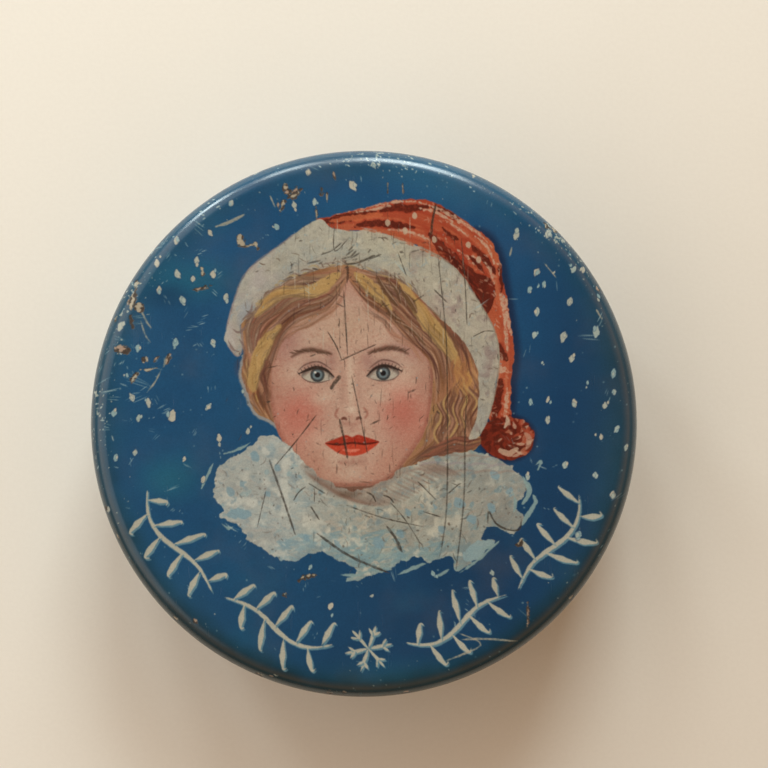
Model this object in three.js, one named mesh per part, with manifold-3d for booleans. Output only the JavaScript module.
// Round slip-lid tin of printed tinplate: a drawn lid over a rolled body strip whose
// bottom plate is closed on with a double seam.
// Units are millimetres, +Z is up, and the origin is the centre of the base plane.
// +Y is the top edge of the picture printed on the lid.
import * as THREE from 'three';
import { mergeVertices } from 'three/addons/utils/BufferGeometryUtils.js';
import Module from 'manifold-3d';

// Driving dimensions.
const LID_DIAMETER = 140; // across the straight skirt
const TIN_HEIGHT = 42; // base plane to the top of the closed lid
const SHEET = 0.3; // tinplate thickness
const FACETS = 64; // flats round the full circle

// Lid.
const LID_DEPTH = 18; // top panel to the lowest point of the curl
const SHOULDER_RADIUS = 5; // outside radius where the panel turns down into the skirt
const LID_CURL_RADIUS = 0.75; // middle of the sheet round the outward curl

// Body strip.
const SLIP = 0.35; // radial clearance between lid skirt and body
const RIM_CURL_RADIUS = 0.6; // middle of the sheet round the inward curl
const RIM_GAP = 0.3; // closed lid to rim curl
const BEAD_RISE = 0.9; // how far the bead that stops the lid stands out
const BEAD_HALF_WIDTH = 1.6;
const BEAD_BELOW_LID = 2.2; // curl's lowest point down to the middle of the bead
const BEAD_STEPS = 4; // straight pieces across the bead's section
const LOCK_WIDTH = 5; // folded side seam, standing inside the wall at +Y
const LOCK_THICKNESS = 0.6;
const LOCK_END_GAP = 1.6; // notch between the fold's ends and the rim curl or the double seam

// Double seam and bottom plate.
const FOLD_GAP = 0.15; // air between the folded layers
const SEAM_HEIGHT = 3.3;
const PANEL_RISE = 2.4; // underside of the bottom panel above the base plane
const PANEL_CORNER = 0.8; // slope from the panel down into the chuck wall
const RING_RADIUS = 56; // stiffening step pressed into the bottom panel
const RING_WIDTH = 1.2;
const RING_RISE = 0.6;

const half = SHEET / 2;
const layer = SHEET + FOLD_GAP;
const lidRadius = LID_DIAMETER / 2;
const lidFoot = TIN_HEIGHT - LID_DEPTH;
const wall = lidRadius - SHEET - SLIP - half; // middle of the body's sheet
const beadHeight = lidFoot - BEAD_BELOW_LID;

const point = (radius, height) => new THREE.Vector2(radius, height);

// Points on an arc of a section, both ends included. Angles are in degrees.
function arc(centre, radius, from, to, steps) {
  return Array.from({ length: steps + 1 }, (_, i) => {
    const angle = THREE.MathUtils.degToRad(from + ((to - from) * i) / steps);
    return point(centre.x + radius * Math.cos(angle), centre.y + radius * Math.sin(angle));
  });
}

// The closed outline of a sheet whose middle follows a line of points, mitred at its corners.
function sheetOutline(middle, reach = half) {
  const sides = middle.map((here, i) => {
    const arriving = here.clone().sub(middle[Math.max(i - 1, 0)]).normalize();
    const leaving = middle[Math.min(i + 1, middle.length - 1)].clone().sub(here).normalize();
    const along = arriving.clone().add(leaving).normalize();
    const across = point(-along.y, along.x);
    const stretch = reach / along.dot(i === 0 ? leaving : arriving);
    return [1, -1].map((side) => here.clone().addScaledVector(across, side * stretch));
  });
  return [...sides.map((pair) => pair[0]), ...sides.map((pair) => pair[1]).reverse()];
}

// Turns a section about Z. A section with an end on the axis is left open along the axis.
function turned(outline) {
  const ring = outline[0].x > 0 ? [...outline, outline[0]] : outline;
  const outwards = THREE.ShapeUtils.area(outline) > 0 ? ring : ring.toReversed();
  return new THREE.LatheGeometry(outwards, FACETS).rotateX(Math.PI / 2);
}

const wasm = await Module();
wasm.setup();

function toManifold(geometry) {
  const bare = geometry.clone();
  bare.deleteAttribute('normal');
  bare.deleteAttribute('uv');
  const merged = mergeVertices(bare, 1e-4);
  return new wasm.Manifold(
    new wasm.Mesh({
      numProp: 3,
      vertProperties: merged.attributes.position.array,
      triVerts: new Uint32Array(merged.index.array),
    }),
  );
}

function fromManifold(solid) {
  const mesh = solid.getMesh();
  const geometry = new THREE.BufferGeometry();
  geometry.setAttribute('position', new THREE.BufferAttribute(mesh.vertProperties, 3));
  geometry.setIndex(new THREE.BufferAttribute(mesh.triVerts, 1));
  geometry.computeVertexNormals();
  return geometry;
}

// Lid: flat panel, rounded shoulder, straight skirt and an outward curl at the lower edge.
function lidGeometry() {
  const shoulder = point(lidRadius - SHOULDER_RADIUS, TIN_HEIGHT - SHOULDER_RADIUS);
  const curl = point(lidRadius - half + LID_CURL_RADIUS, lidFoot + LID_CURL_RADIUS + half);
  return turned(
    sheetOutline([
      point(0, TIN_HEIGHT - half),
      ...arc(shoulder, SHOULDER_RADIUS - half, 90, 0, 6),
      ...arc(curl, LID_CURL_RADIUS, 180, 460, 8),
    ]),
  );
}

// Centre of the rim curl, placed so that the curl lies RIM_GAP under the lid's shoulder.
function rimCentre() {
  const radius = wall - RIM_CURL_RADIUS;
  const reach = SHOULDER_RADIUS - SHEET - RIM_GAP - RIM_CURL_RADIUS - half;
  const sideways = radius - (lidRadius - SHOULDER_RADIUS);
  return point(radius, TIN_HEIGHT - SHOULDER_RADIUS + Math.sqrt(reach ** 2 - sideways ** 2));
}

// A stretch of wall from high to low with the bead rolled into it, moved inwards by inset.
function beadedWall(high, low, inset) {
  const bead = Array.from({ length: BEAD_STEPS + 1 }, (_, i) => {
    const t = 1 - (2 * i) / BEAD_STEPS;
    const swell = (BEAD_RISE * (1 + Math.cos(Math.PI * t))) / 2;
    return point(wall - inset + swell, beadHeight + t * BEAD_HALF_WIDTH);
  });
  return [point(wall - inset, high), ...bead, point(wall - inset, low)];
}

// Side seam: the strip's ends folded together, lying against the inside of the wall.
function sideSeam(rimFoot) {
  const inset = half + LOCK_THICKNESS / 2 - SHEET / 4; // sunk a little into the wall
  const folds = beadedWall(rimFoot - LOCK_END_GAP, SEAM_HEIGHT + LOCK_END_GAP, inset);
  const ring = turned(sheetOutline(folds, LOCK_THICKNESS / 2));
  const sector = new THREE.BoxGeometry(LOCK_WIDTH, LID_DIAMETER, LID_DIAMETER);
  return toManifold(ring).intersect(toManifold(sector.translate(0, lidRadius, 0)));
}

// Body: a strip with an inward curl at the rim, the bead that stops the lid, and an outward
// hook at the foot for the double seam.
function bodyGeometry() {
  const rim = rimCentre();
  const hookFoot = SHEET + FOLD_GAP + half;
  const hookRadius = wall + 2 * layer;
  const strip = turned(
    sheetOutline([
      ...arc(rim, RIM_CURL_RADIUS, 280, 20, 8),
      ...beadedWall(rim.y, hookFoot, 0),
      point(hookRadius, hookFoot),
      point(hookRadius, SEAM_HEIGHT - layer),
    ]),
  );
  return fromManifold(toManifold(strip).add(sideSeam(rim.y - RIM_CURL_RADIUS)));
}

// Bottom plate: countersunk panel, chuck wall, foot, and the hook folded down inside the body's.
function bottomGeometry() {
  const chuck = wall - layer;
  const cover = wall + 3 * layer;
  const panel = PANEL_RISE + half;
  return turned(
    sheetOutline([
      point(0, panel + RING_RISE),
      point(RING_RADIUS, panel + RING_RISE),
      point(RING_RADIUS + RING_WIDTH, panel),
      point(chuck - PANEL_CORNER, panel),
      point(chuck, panel - PANEL_CORNER),
      point(chuck, half),
      point(cover, half),
      point(cover, SEAM_HEIGHT - half),
      point(wall + layer, SEAM_HEIGHT - half),
      point(wall + layer, half + 2 * layer),
    ]),
  );
}

const printedBlue = new THREE.MeshStandardMaterial({
  color: 0x1d4470,
  roughness: 0.35,
  metalness: 0.1,
});
const bareTin = new THREE.MeshStandardMaterial({
  color: 0x9a948a,
  roughness: 0.45,
  metalness: 0.9,
});

function part(name, geometry, material) {
  const mesh = new THREE.Mesh(geometry, material);
  mesh.name = name;
  return mesh;
}

const tin = new THREE.Group();
tin.add(part('lid', lidGeometry(), printedBlue));
tin.add(part('body_strip', bodyGeometry(), printedBlue));
tin.add(part('bottom_plate', bottomGeometry(), bareTin));

export default tin;
